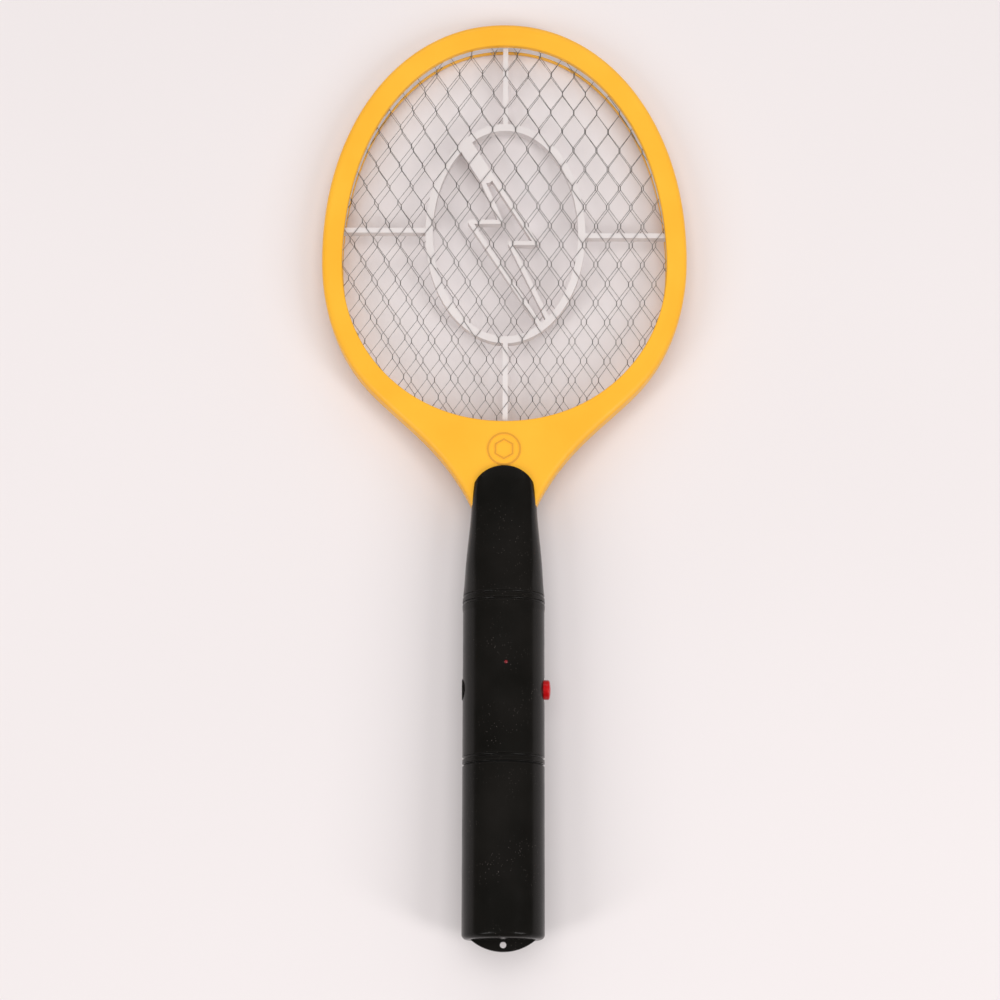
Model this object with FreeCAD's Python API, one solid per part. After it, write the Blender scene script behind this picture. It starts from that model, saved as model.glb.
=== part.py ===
"""Electric fly swatter, built as one assembly of separate pieces.

Axes: +Y runs from the hang tab to the tip of the head, +X is the button side,
+Z is the front face. The underside of the handle lies at z = 0.
All lengths are in millimetres. Each function returns one piece, and the list at
the end writes every piece to its own STEP file.
"""
import FreeCAD, Part
import math
import os

# ---------------------------------------------------------------- overall layout
HANDLE_R = 19.5
WIDE = 30.0                       # sideways reach that clears the whole handle
MID_Z = 19.5                      # both shells and both frames meet on this plane
HEAD_TIP_Y = 229.6
TAB_TIP_Y = -230.4

# head frame
HEAD_CENTRE_Y = 107.66
HEAD_HALF_WIDTH = 89.83
HEAD_TOP_REACH = HEAD_TIP_Y - HEAD_CENTRE_Y
HEAD_BOTTOM_REACH = 94.7
HEAD_POWER_TOP = 2.07             # superellipse exponents, 2 would be an ellipse
HEAD_POWER_BOTTOM = 2.13
WINDOW_CENTRE_Y = 104.0
WINDOW_HALF_WIDTH = 79.8
WINDOW_TOP_REACH = 114.0
WINDOW_BOTTOM_REACH = 80.2
WINDOW_POWER = 2.07
FRAME_HALF = 6.5                  # each frame half reaches this far from MID_Z
SHOULDER_R = 2.6
WINDOW_EDGE_R = 0.8
CHANNEL_REACH = 8.0               # hollow inside the ring, from the window edge
CHANNEL_DEPTH = 3.3
OUTLINE_STEPS = 32                # points round an oval

# neck, from the oval down into the handle
FLANK_START_Y = 35.2
FLANK_LENGTH = 34.4               # pull of the curve at the oval end
FLANK_END = (15.6, -18.0)
FLANK_END_PULL = (11.0, 22.0)
FLANK_STEPS = 4
TONGUE_HALF_WIDTH = 14.0
TONGUE_END_Y = -48.0
NECK_CHANNEL_HALF = 7.5
TONGUE_HOLE_R = 2.6

# badge on the neck: a plain ring round a hexagon
BADGE_Y = 9.6
BADGE_R = 8.2
BADGE_LINE = 0.8
BADGE_HEIGHT = 0.5
HEXAGON_R = 5.2

# spacer and grids
SPACER_HALF = 2.7
SPACER_INNER = 0.3                # just behind the window edge
SPACER_OUTER = 4.0
GRID_THICKNESS = 0.6
GRID_RIM_OUTER = 3.6
GRID_RIM_INNER = 0.4
RIB_WIDTH = 2.5
LEFT_RIB_Y = 121.8
RIGHT_RIB_Y = 119.2
RING_CENTRE = (0.5, 120.7)
RING_HALF = (39.5, 56.9)
RING_WIDTH = 3.6
BOLT_LEFT = [(-22.1, 165.8), (-10.6, 147.2), (-1.7, 126.3), (-17.0, 126.3), (18.5, 71.7)]
BOLT_RIGHT = [(-17.2, 167.4), (15.6, 115.4), (2.8, 115.4), (22.2, 74.6)]
BOLT_WEB = [(-18.8, 165.3), (-8.5, 149.0)]    # joins the two ribs at their top
BOLT_WEB_WIDTH = 5.0
BOLT_RIB_WIDTH = 2.2
MESH_PITCH_X = 11.48
MESH_PITCH_Y = 19.84
MESH_STRAND = 1.0
SMALLEST_HOLE = 4.0               # smaller slivers at the rim stay closed
EDGE_SPREAD_MIN = 0.68            # diamonds between these two may cross the window's edge
EDGE_SPREAD_MAX = 1.35
FRONT_MESH_START = (7.28, -4.0)    # centre of one diamond, before the sheet is turned
FRONT_MESH_TURN = -1.3            # degrees; the sheets are not cut quite alike
REAR_MESH_START = (6.07, 4.9)
REAR_MESH_TURN = 0.0
LEAD_TAB_X = 5.0                  # front grid on -X, rear grid on +X
LEAD_TAB_END_Y = 13.0

# frame screws: self-tapping, driven from the rear
FRAME_SCREW_ANGLES = [22.5 + 45.0 * step for step in range(8)]
FRAME_SCREW_INSET = 6.2
FRAME_BOSS_R = 2.1
SCREW_R = 1.0
PILOT_R = 1.05
PASSAGE_R = 1.2
FRAME_HEAD_R = 1.9
FRAME_HEAD_SINK = 2.0
FRAME_SCREW_LENGTH = 8.6
FRAME_HEAD_HEIGHT = 1.4
CROSS_REACH = 0.65                # cross slot in a screw's head, as a share of the head's radius
CROSS_HALF = 0.27
CROSS_DEPTH = 0.7

# handle
WALL = 2.0
TAPER = [                         # y, half width, half height, superellipse exponent
    (6.0, 13.8, 8.4, 4.0),
    (-5.0, 14.4, 10.3, 4.0),
    (-14.0, 15.3, 11.8, 4.0),
    (-22.0, 15.8, 13.1, 3.5),
    (-34.0, 17.0, 15.2, 2.9),
    (-48.0, 18.4, 17.5, 2.4),
    (-59.0, 19.2, 19.1, 2.05),
]
TAPER_END_Y = -70.0               # the round barrel starts here
TAPER_STEPS = 16                  # points round one section
CROWN_TIP_Y = 1.0
CROWN_R = 16.4                    # the crown is rounded like this, seen from the front
CROWN_EDGE_R = 1.0
CAVITY_START_Y = -50.0
CAVITY_STATIONS = 2               # taper stations that the cavity reaches
SHELL_END_Y = -143.1
SLEEVE_START_Y = -143.5
SLEEVE_END_Y = -224.8
GROOVE_R = 0.75
GROOVE_YS = [-62.5, -65.9, -140.1]
NOTCH_Y = -18.3                   # the neck is wider than the handle above this
FIT_GAP = 0.1
SLEEVE_BORE_R = 17.4
SLEEVE_END_WALL = 2.6
SLEEVE_EDGE_R = 2.5
TAB_R = 23.5
TAB_THICKNESS = 3.0
TAB_HOLE_R = 1.5
TAB_HOLE_Y = -227.2
RIDGE_X = 5.0                     # two low ridges keep the handle from rolling on a table
RIDGE_WIDTH = 1.2
RIDGE_TOP_Z = 1.2                 # inside the wall
SHELL_RIDGE = (-70.0, -136.0)
SLEEVE_RIDGE = (-148.0, -221.0)

# handle screws: x, y, z where the head seats, tip z
NECK_SCREW = (0.0, -36.0, 8.5, 30.0)
SIDE_SCREW_X = 13.6
SIDE_SCREW_YS = [-84.0, -127.0]
SIDE_SCREW_SEAT_Z = 9.5
SIDE_SCREW_TIP_Z = 26.0
HANDLE_HEAD_R = 2.0
HANDLE_HEAD_HEIGHT = 1.8
COUNTERBORE_R = 2.3
BOSS_R = 2.4
HEAD_BOSS_R = 3.2
HEAD_BOSS_TOP_Z = 11.5
FRONT_BOSS_TOP_Z = 30.0

# button and switch, on the +X side
BUTTON_Y = -107.1
BUTTON_R = 4.7
BUTTON_TIP_X = 22.4
BUTTON_DOME = 0.7
BUTTON_EDGE_R = 0.8
BUTTON_FLANGE_R = 6.0
BUTTON_FLANGE_X = 14.9
BUTTON_FLANGE_THICKNESS = 1.2
BUTTON_HOLE_R = 5.0
BUTTON_DISH_R = 6.4
BUTTON_DISH_X = 18.9
PLUNGER_R = 1.2
PLUNGER_BORE_R = 1.28
PLUNGER_START_X = 7.0
PLUNGER_BORE_X = 4.5
SWITCH_BOX = ((1.0, -113.5, 17.0), (12.2, -100.7, 23.0))
PLUG_R = 5.0
PLUG_FLANGE_R = 6.2
PLUG_FACE_X = -19.8
PLUG_SEAT_X = 14.0
SIDE_CLEAR_X = 25.0               # cuts through the side walls end well outside them here

# circuit board and the parts on it
BOARD_HALF_WIDTH = 10.8
BOARD_TOP_Z = 17.0
BOARD_THICKNESS = 1.6
BOARD_START_Y = -66.0
BOARD_END_Y = -129.0
LED_X = 1.1
LED_Y = -96.7
LED_R = 0.9
LED_TOP_Z = 39.5
LED_FLANGE_Z = 35.2
LED_LEAD_STEP = 0.5
TRANSFORMER_Y = -82.5
CORE_SIZE = (16.0, 10.0, 12.0)    # x, y, z
CORE_WALL = 2.0
CORE_LEG_R = 2.4
COIL_R = 5.8
COIL_GROOVE_R = 5.4
FILM_CAPACITOR = ((-1.5, -76.2), (9.5, -70.7))
FILM_CAPACITOR_HEIGHT = 9.0
DISC_YS = [-117.5, -122.0]
DISC_R = 4.0
DISC_THICKNESS = 2.6
DISC_LIFT = 5.2                   # centre of the disc above the board
DIODES = [(-8.6, -95.0), (-8.6, -104.0), (-8.6, -113.0)]
DIODE_R = 1.3
DIODE_LENGTH = 4.6
RESISTORS = [(-4.4, -102.5), (-4.4, -111.5), (8.6, -94.0)]
RESISTOR_R = 1.1
RESISTOR_LENGTH = 5.4
TRANSISTOR = (4.4, -93.0)
TRANSISTOR_R = 2.3
TRANSISTOR_HEIGHT = 4.8
TRANSISTOR_LIFT = 3.0
TRANSISTOR_FLAT = 1.6             # centre to flat face
THIN_LEAD_R = 0.25

# battery bay
BATTERY_X = 7.45
BATTERY_R = 7.1
BATTERY_BODY = 49.5
NUB_R = 2.75
NUB_LENGTH = 1.0
TRAY_R = 17.32
TRAY_PLUG_START_Y = -132.0
TRAY_FACE_Y = -150.0
TRAY_BACK_Y = -206.0
TRAY_END_Y = -209.0
TRAY_WALL = 3.0
TRAY_CORE_R = 11.32               # hollow in the plug
CONTACT_THICKNESS = 0.4
CONTACT_HALF = 5.0
SPRING_LENGTH = 4.7
SPRING_WIRE_R = 0.35
SPRING_TURNS = 3
LEAD_R = 0.6
BATTERY_LEAD_X = 9.0
BATTERY_LEAD_Z = 28.0

X_AXIS = FreeCAD.Vector(1, 0, 0)
Y_AXIS = FreeCAD.Vector(0, 1, 0)
Z_AXIS = FreeCAD.Vector(0, 0, 1)


# ---------------------------------------------------------------- small helpers
def vec(x, y, z=0.0):
    return FreeCAD.Vector(x, y, z)


def box(low, high):
    size = [high[i] - low[i] for i in range(3)]
    return Part.makeBox(size[0], size[1], size[2], vec(*low))


def rod(start, end, radius):
    """Solid cylinder from one point to another."""
    along = vec(*end) - vec(*start)
    return Part.makeCylinder(radius, along.Length, vec(*start), along)


def prism(wire, low_z, high_z):
    face = Part.Face(wire)
    face.translate(vec(0, 0, low_z))
    return face.extrude(vec(0, 0, high_z - low_z))


def polygon(points):
    corners = [vec(x, y) for x, y in points]
    return Part.makePolygon(corners + [corners[0]])


def fused(shapes):
    first, rest = shapes[0], shapes[1:]
    return first.fuse(rest).removeSplitter() if rest else first


def mirrored_in_z(shape):
    """The same piece turned over about the parting plane."""
    return shape.mirror(vec(0, 0, MID_Z), Z_AXIS)


def edges_at_height(shape, height):
    """Edges that lie flat at one height."""
    found = []
    for edge in shape.Edges:
        if abs(edge.BoundBox.ZMin - height) < 1e-4 and abs(edge.BoundBox.ZMax - height) < 1e-4:
            found.append(edge)
    return found


def bent_wire(points, radius, bend):
    """Round wire through the points, with each corner turned on an arc."""
    corners = [vec(*point) for point in points]
    edges = []
    start = corners[0]
    for before, corner, after in zip(corners, corners[1:], corners[2:]):
        into = (corner - before).normalize()
        out = (after - corner).normalize()
        half_turn = into.getAngle(out) / 2
        reach = bend * math.tan(half_turn)
        arc_start = corner - into * reach
        arc_end = corner + out * reach
        inward = (out - into).normalize()
        middle = corner + inward * (bend / math.cos(half_turn) - bend)
        edges.append(Part.LineSegment(start, arc_start).toShape())
        edges.append(Part.Arc(arc_start, middle, arc_end).toShape())
        start = arc_end
    edges.append(Part.LineSegment(start, corners[-1]).toShape())
    direction = corners[1] - corners[0]
    profile = Part.Wire(Part.Circle(corners[0], direction, radius).toShape())
    return Part.Wire(edges).makePipeShell([profile], True, False)


# ---------------------------------------------------------------- head outlines
def superellipse(angle, half_width, reach, power):
    """Offset from the centre at one angle, 0 on +X and 90 degrees on +Y."""
    cosine, sine = math.cos(angle), math.sin(angle)
    x = half_width * math.copysign(abs(cosine) ** (2 / power), cosine)
    y = reach * math.copysign(abs(sine) ** (2 / power), sine)
    return x, y


def window_wire(offset):
    """Outline of the grid window, grown by offset."""
    points = []
    for step in range(OUTLINE_STEPS):
        angle = 2 * math.pi * step / OUTLINE_STEPS
        reach = WINDOW_TOP_REACH if angle < math.pi else WINDOW_BOTTOM_REACH
        x, y = superellipse(angle, WINDOW_HALF_WIDTH + offset, reach + offset, WINDOW_POWER)
        points.append(vec(x, WINDOW_CENTRE_Y + y))
    curve = Part.BSplineCurve()
    curve.interpolate(Points=points, PeriodicFlag=True)
    return Part.Wire(curve.toShape())


def flank_angle():
    """Angle on the head oval where the neck flank leaves it."""
    drop = (HEAD_CENTRE_Y - FLANK_START_Y) / HEAD_BOTTOM_REACH
    return -math.asin(drop ** (HEAD_POWER_BOTTOM / 2))


def flank_points(start, tangent):
    """Points down the right flank, from the handle up to the oval."""
    curve = Part.BezierCurve()
    end = vec(*FLANK_END)
    curve.setPoles([start, start - tangent * FLANK_LENGTH, end + vec(*FLANK_END_PULL), end])
    return [curve.value(1 - step / FLANK_STEPS) for step in range(FLANK_STEPS)]


def head_wire():
    """Head oval flowing down both flanks of the neck, as one smooth curve."""
    lowest = flank_angle()
    oval = []
    for step in range(OUTLINE_STEPS + 1):
        angle = lowest + (math.pi - 2 * lowest) * step / OUTLINE_STEPS
        upper = math.sin(angle) > 0
        reach = HEAD_TOP_REACH if upper else HEAD_BOTTOM_REACH
        power = HEAD_POWER_TOP if upper else HEAD_POWER_BOTTOM
        x, y = superellipse(angle, HEAD_HALF_WIDTH, reach, power)
        oval.append(vec(x, HEAD_CENTRE_Y + y))
    start = oval[0]
    drop = HEAD_CENTRE_Y - start.y
    across = (HEAD_BOTTOM_REACH / HEAD_HALF_WIDTH) ** HEAD_POWER_BOTTOM
    slope = across * (start.x / drop) ** (HEAD_POWER_BOTTOM - 1)
    right = flank_points(start, vec(1.0, slope).normalize())
    left = [vec(-point.x, point.y) for point in reversed(right)]
    points = right + oval + left
    curve = Part.BSplineCurve()
    curve.interpolate(Points=points)
    base = Part.LineSegment(points[-1], points[0])
    return Part.Wire([curve.toShape(), base.toShape()])


def frame_screw_points():
    points = []
    for degrees in FRAME_SCREW_ANGLES:
        angle = math.radians(degrees)
        reach = WINDOW_TOP_REACH if math.sin(angle) > 0 else WINDOW_BOTTOM_REACH
        x, y = superellipse(angle, WINDOW_HALF_WIDTH + FRAME_SCREW_INSET,
                            reach + FRAME_SCREW_INSET, WINDOW_POWER)
        points.append((x, WINDOW_CENTRE_Y + y))
    return points


# ---------------------------------------------------------------- head pieces
def frame_half():
    """Front half of the head frame, without badge or screw holes."""
    top = MID_Z + FRAME_HALF
    ceiling = MID_Z + CHANNEL_DEPTH
    shell = prism(head_wire(), MID_Z, top)
    rim = [edge for edge in edges_at_height(shell, top) if edge.BoundBox.YLength > 1]
    shell = shell.makeFillet(SHOULDER_R, rim)
    shell = shell.cut(prism(window_wire(0), MID_Z, top))
    inner = [edge for edge in edges_at_height(shell, top) if edge.BoundBox.YMin > WINDOW_CENTRE_Y
             - WINDOW_BOTTOM_REACH - 1 and edge.BoundBox.XLength > WINDOW_HALF_WIDTH]
    inner = [edge for edge in inner if edge.BoundBox.YMax < WINDOW_CENTRE_Y + WINDOW_TOP_REACH + 1]
    shell = shell.makeFillet(WINDOW_EDGE_R, inner)
    shell = shell.cut(prism(window_wire(CHANNEL_REACH), MID_Z, ceiling))
    tongue_top = top - 2 * FIT_GAP
    tongue = box((-TONGUE_HALF_WIDTH, TONGUE_END_Y, MID_Z),
                 (TONGUE_HALF_WIDTH, FLANK_END[1] + 1.0, tongue_top))
    shell = shell.fuse(tongue)
    window_bottom = WINDOW_CENTRE_Y - WINDOW_BOTTOM_REACH
    neck_channel = box((-NECK_CHANNEL_HALF, TONGUE_END_Y, MID_Z),
                       (NECK_CHANNEL_HALF, window_bottom, ceiling))
    shell = shell.cut(neck_channel)
    bosses = [rod((x, y, MID_Z), (x, y, ceiling), FRAME_BOSS_R) for x, y in frame_screw_points()]
    shell = fused([shell] + bosses)
    hole_x, hole_y = NECK_SCREW[:2]
    return shell.cut(rod((hole_x, hole_y, MID_Z - 1), (hole_x, hole_y, top + 1), TONGUE_HOLE_R))


def badge():
    top = MID_Z + FRAME_HALF
    outer = rod((0, BADGE_Y, top - 0.2), (0, BADGE_Y, top + BADGE_HEIGHT), BADGE_R)
    inner = rod((0, BADGE_Y, top - 1), (0, BADGE_Y, top + 1), BADGE_R - BADGE_LINE)
    line = hexagon(HEXAGON_R, top - 0.2, top + BADGE_HEIGHT)
    hollow = hexagon(HEXAGON_R - BADGE_LINE, top - 1, top + 1)
    return [outer.cut(inner), line.cut(hollow)]


def hexagon(radius, low_z, high_z):
    corners = []
    for step in range(6):
        angle = math.radians(60 * step + 30)
        corners.append((radius * math.cos(angle), BADGE_Y + radius * math.sin(angle)))
    return prism(polygon(corners), low_z, high_z)


def front_frame():
    holes = [rod((x, y, MID_Z - 1), (x, y, MID_Z + 5.0), PILOT_R) for x, y in frame_screw_points()]
    return fused([frame_half()] + badge()).cut(holes)


def rear_frame():
    low = MID_Z - FRAME_HALF
    cuts = []
    for x, y in frame_screw_points():
        cuts.append(rod((x, y, low - 1), (x, y, MID_Z + 1), PASSAGE_R))
        cuts.append(rod((x, y, low - 1), (x, y, low + FRAME_HEAD_SINK), FRAME_HEAD_R + 0.2))
    return mirrored_in_z(frame_half()).cut(cuts)


def cross_head_screw(x, y, seat_z, tip_z, head_r, head_height):
    """Screw driven from below: the head lies under its seat, the shank above it."""
    low = seat_z - head_height
    head = rod((x, y, low), (x, y, seat_z), head_r)
    reach = head_r * CROSS_REACH
    slot = box((x - reach, y - CROSS_HALF, low - 1), (x + reach, y + CROSS_HALF, low + CROSS_DEPTH))
    cross = box((x - CROSS_HALF, y - reach, low - 1), (x + CROSS_HALF, y + reach, low + CROSS_DEPTH))
    return head.cut([slot, cross]).fuse(rod((x, y, seat_z), (x, y, tip_z), SCREW_R))


def frame_screws():
    seat = MID_Z - FRAME_HALF + FRAME_HEAD_SINK
    return Part.makeCompound([cross_head_screw(x, y, seat, seat + FRAME_SCREW_LENGTH, FRAME_HEAD_R,
                                               FRAME_HEAD_HEIGHT) for x, y in frame_screw_points()])


def ellipse_prism(half_x, half_y, low_z, high_z):
    centre = vec(RING_CENTRE[0], RING_CENTRE[1])
    curve = Part.Ellipse(centre + vec(0, half_y), centre + vec(half_x, 0), centre)
    return prism(Part.Wire(curve.toShape()), low_z, high_z)


def rib(start, end, width, low_z, high_z):
    """Straight rib between two points, with round ends."""
    along = vec(end[0] - start[0], end[1] - start[1])
    side = vec(-along.y, along.x).normalize() * (width / 2)
    corners = [(start[0] + side.x, start[1] + side.y), (start[0] - side.x, start[1] - side.y),
               (end[0] - side.x, end[1] - side.y), (end[0] + side.x, end[1] + side.y)]
    bar = prism(polygon(corners), low_z, high_z)
    ends = [rod((x, y, low_z), (x, y, high_z), width / 2) for x, y in (start, end)]
    return fused([bar] + ends)


def grid_spacer():
    low, high = MID_Z - SPACER_HALF, MID_Z + SPACER_HALF
    rim = prism(window_wire(SPACER_OUTER), low, high)
    rim = rim.cut(prism(window_wire(SPACER_INNER), low, high))
    half_x, half_y = RING_HALF
    ring = ellipse_prism(half_x, half_y, low, high)
    ring = ring.cut(ellipse_prism(half_x - RING_WIDTH, half_y - RING_WIDTH, low, high))
    centre_x, centre_y = RING_CENTRE
    edge_x = WINDOW_HALF_WIDTH + 1.0
    inset = RING_WIDTH / 2
    bars = [
        rib((-edge_x, LEFT_RIB_Y), (centre_x - half_x + inset, LEFT_RIB_Y), RIB_WIDTH, low, high),
        rib((centre_x + half_x - inset, RIGHT_RIB_Y), (edge_x, RIGHT_RIB_Y), RIB_WIDTH, low, high),
        rib((centre_x, centre_y + half_y - inset), (centre_x, WINDOW_CENTRE_Y + WINDOW_TOP_REACH + 1),
            RIB_WIDTH, low, high),
        rib((centre_x, WINDOW_CENTRE_Y - WINDOW_BOTTOM_REACH - 1),
            (centre_x, centre_y - half_y + inset), RIB_WIDTH, low, high),
    ]
    for path in (BOLT_LEFT, BOLT_RIGHT):
        for start, end in zip(path, path[1:]):
            bars.append(rib(start, end, BOLT_RIB_WIDTH, low, high))
    bars.append(rib(BOLT_WEB[0], BOLT_WEB[1], BOLT_WEB_WIDTH, low, high))
    return fused([rim, ring] + bars)


def turned(x, y, degrees):
    angle = math.radians(degrees)
    return (x * math.cos(angle) - y * math.sin(angle), x * math.sin(angle) + y * math.cos(angle))


def mesh_openings(start, turn):
    """Flat diamonds over the whole window, cut off at its edge."""
    half_x = MESH_PITCH_X / 2 - MESH_STRAND / 2 * math.hypot(1, MESH_PITCH_X / MESH_PITCH_Y)
    half_y = half_x * MESH_PITCH_Y / MESH_PITCH_X
    field = Part.Face(window_wire(GRID_RIM_INNER))
    diamonds = []
    for row in range(-8, 26):
        for column in range(-9, 10):
            x = start[0] + MESH_PITCH_X * (column + 0.5 * (row % 2))
            y = start[1] + MESH_PITCH_Y * 0.5 * row
            reach = WINDOW_TOP_REACH if y > WINDOW_CENTRE_Y else WINDOW_BOTTOM_REACH
            spread = (x / WINDOW_HALF_WIDTH) ** 2 + ((y - WINDOW_CENTRE_Y) / reach) ** 2
            if spread > EDGE_SPREAD_MAX:
                continue
            corners = [(x - half_x, y), (x, y - half_y), (x + half_x, y), (x, y + half_y)]
            diamond = Part.Face(polygon([turned(cx, cy, turn) for cx, cy in corners]))
            if spread > EDGE_SPREAD_MIN:
                cut_off = field.common(diamond).Faces
                diamonds.extend(face for face in cut_off if face.Area > SMALLEST_HOLE)
            else:
                diamonds.append(diamond)
    return diamonds


def grid(start, turn, low_z, tab_x):
    wires = [window_wire(GRID_RIM_OUTER)] + [face.OuterWire for face in mesh_openings(start, turn)]
    sheet = Part.makeFace(wires, "Part::FaceMakerBullseye")
    sheet.translate(vec(0, 0, low_z))
    plate = sheet.extrude(vec(0, 0, GRID_THICKNESS))
    tab_top = WINDOW_CENTRE_Y - WINDOW_BOTTOM_REACH - GRID_RIM_OUTER + 1.0
    tab = box((tab_x - 2, LEAD_TAB_END_Y, low_z), (tab_x + 2, tab_top, low_z + GRID_THICKNESS))
    return plate.fuse(tab)


def front_grid():
    return grid(FRONT_MESH_START, FRONT_MESH_TURN, MID_Z + SPACER_HALF, -LEAD_TAB_X)


def rear_grid():
    return grid(REAR_MESH_START, REAR_MESH_TURN, MID_Z - SPACER_HALF - GRID_THICKNESS, LEAD_TAB_X)


def front_grid_lead():
    start_z = MID_Z + SPACER_HALF - LEAD_R
    path = [(-LEAD_TAB_X, 18.0, start_z), (-LEAD_TAB_X, -69.0, start_z),
            (-LEAD_TAB_X, -69.0, BOARD_TOP_Z)]
    return bent_wire(path, LEAD_R, 3.0)


def rear_grid_lead():
    start_z = MID_Z - SPACER_HALF + LEAD_R
    high_z = MID_Z + 2.5
    path = [(LEAD_TAB_X, 18.0, start_z), (LEAD_TAB_X, -20.0, start_z), (LEAD_TAB_X, -40.0, high_z),
            (LEAD_TAB_X, -69.0, high_z), (LEAD_TAB_X, -69.0, BOARD_TOP_Z)]
    return bent_wire(path, LEAD_R, 3.0)


# ---------------------------------------------------------------- handle pieces
def taper_loft(stations, inset):
    """Boxy at the crown, turning round towards the barrel."""
    sections = []
    for y, half_width, half_height, power in stations:
        points = []
        for step in range(TAPER_STEPS):
            angle = 2 * math.pi * step / TAPER_STEPS
            x, z = superellipse(angle, half_width - inset, half_height - inset, power)
            points.append(vec(x, y, MID_Z + z))
        curve = Part.BSplineCurve()
        curve.interpolate(Points=points, PeriodicFlag=True)
        sections.append(Part.Wire(curve.toShape()))
    barrel_end = Part.Circle(vec(0, TAPER_END_Y, MID_Z), vec(0, -1, 0), HANDLE_R - inset)
    barrel_end.XAxis = X_AXIS
    sections.append(Part.Wire(barrel_end.toShape()))
    return Part.makeLoft(sections, True, False)


def handle_outside():
    barrel = rod((0, TAPER_END_Y, MID_Z), (0, SHELL_END_Y, MID_Z), HANDLE_R)
    body = taper_loft(TAPER, 0).fuse(barrel)
    centre_y = CROWN_TIP_Y - CROWN_R
    top = 2 * MID_Z + 1
    keep = rod((0, centre_y, -1), (0, centre_y, top), CROWN_R)
    keep = keep.fuse(box((-WIDE, SHELL_END_Y, -1), (WIDE, centre_y, top)))
    body = body.common(keep)
    lip = [edge for edge in body.Edges
           if edge.BoundBox.YMin > centre_y + 3 and edge.BoundBox.XLength > CROWN_R]
    return body.makeFillet(CROWN_EDGE_R, lip)


def groove(y):
    return Part.makeTorus(HANDLE_R + 0.1, GROOVE_R, vec(0, y, MID_Z), Y_AXIS)


def handle_cavity():
    clear = box((-WIDE, SHELL_END_Y - 1, -1), (WIDE, CAVITY_START_Y, 2 * MID_Z + 1))
    return taper_loft(TAPER[-CAVITY_STATIONS:], WALL).common(clear).fuse(
        rod((0, TAPER_END_Y, MID_Z), (0, SHELL_END_Y - 1, MID_Z), HANDLE_R - WALL))


def neck_pocket():
    low, high = MID_Z - FRAME_HALF - FIT_GAP, MID_Z + FRAME_HALF + FIT_GAP
    open_part = box((-WIDE, NOTCH_Y, low), (WIDE, 20, high))
    half = TONGUE_HALF_WIDTH + FIT_GAP
    closed_part = box((-half, CAVITY_START_Y - 0.5, low), (half, NOTCH_Y + 0.1, high))
    return open_part.fuse(closed_part)


def handle_half(front):
    """One shell with its screw bosses, before the screw holes are drilled."""
    shell = handle_outside().cut([groove(y) for y in GROOVE_YS + [SHELL_END_Y - 0.2]])
    shell = shell.cut([handle_cavity(), neck_pocket()])
    low, high = (MID_Z, 2 * MID_Z + 1) if front else (-1, MID_Z)
    shell = shell.common(box((-WIDE, SHELL_END_Y - 1, low), (WIDE, 20, high)))
    x, y = NECK_SCREW[:2]
    reach = FRAME_HALF + 1 if front else -FRAME_HALF - 1
    shell = shell.fuse(rod((x, y, MID_Z), (x, y, MID_Z + reach), TONGUE_HOLE_R - 2 * FIT_GAP))
    barrel = rod((0, CAVITY_START_Y - 20, MID_Z), (0, SHELL_END_Y, MID_Z), HANDLE_R - WALL / 2)
    for x in (-SIDE_SCREW_X, SIDE_SCREW_X):
        for y in SIDE_SCREW_YS:
            if front:
                boss = rod((x, y, MID_Z), (x, y, FRONT_BOSS_TOP_Z), BOSS_R)
            else:
                boss = rod((x, y, 1), (x, y, HEAD_BOSS_TOP_Z), HEAD_BOSS_R)
                boss = boss.fuse(rod((x, y, 2), (x, y, MID_Z), BOSS_R))
            shell = shell.fuse(boss.common(barrel))
    return shell


def handle_screw_list():
    screws = [NECK_SCREW]
    for x in (-SIDE_SCREW_X, SIDE_SCREW_X):
        for y in SIDE_SCREW_YS:
            screws.append((x, y, SIDE_SCREW_SEAT_Z, SIDE_SCREW_TIP_Z))
    return screws


def side_cuts():
    """Openings through the two side walls, for the button and the blanking plug."""
    button = rod((BUTTON_FLANGE_X, BUTTON_Y, MID_Z), (SIDE_CLEAR_X, BUTTON_Y, MID_Z), BUTTON_HOLE_R)
    dish = rod((BUTTON_DISH_X, BUTTON_Y, MID_Z), (SIDE_CLEAR_X, BUTTON_Y, MID_Z), BUTTON_DISH_R)
    plug = rod((-SIDE_CLEAR_X, BUTTON_Y, MID_Z), (-PLUG_SEAT_X, BUTTON_Y, MID_Z), PLUG_R + 0.05)
    return [button, dish, plug]


def front_handle_shell():
    cuts = side_cuts()
    cuts.append(rod((LED_X, LED_Y, 30), (LED_X, LED_Y, 45), LED_R + FIT_GAP))
    for x, y, _, tip_z in handle_screw_list():
        cuts.append(rod((x, y, MID_Z - 1), (x, y, tip_z + 0.5), PILOT_R))
    return handle_half(True).cut(cuts)


def underside_ridges(start_y, end_y):
    return [box((x - RIDGE_WIDTH / 2, end_y, 0), (x + RIDGE_WIDTH / 2, start_y, RIDGE_TOP_Z))
            for x in (-RIDGE_X, RIDGE_X)]


def rear_handle_shell():
    shell = handle_half(False)
    for ridge in underside_ridges(*SHELL_RIDGE):
        shell = shell.fuse(ridge)
    cuts = side_cuts()
    for x, y, seat_z, _ in handle_screw_list():
        cuts.append(rod((x, y, -1), (x, y, seat_z), COUNTERBORE_R))
        cuts.append(rod((x, y, seat_z - 1), (x, y, MID_Z + 1), PASSAGE_R))
    return shell.cut(cuts)


def handle_screws():
    return Part.makeCompound([cross_head_screw(x, y, seat_z, tip_z, HANDLE_HEAD_R, HANDLE_HEAD_HEIGHT)
                              for x, y, seat_z, tip_z in handle_screw_list()])


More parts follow.
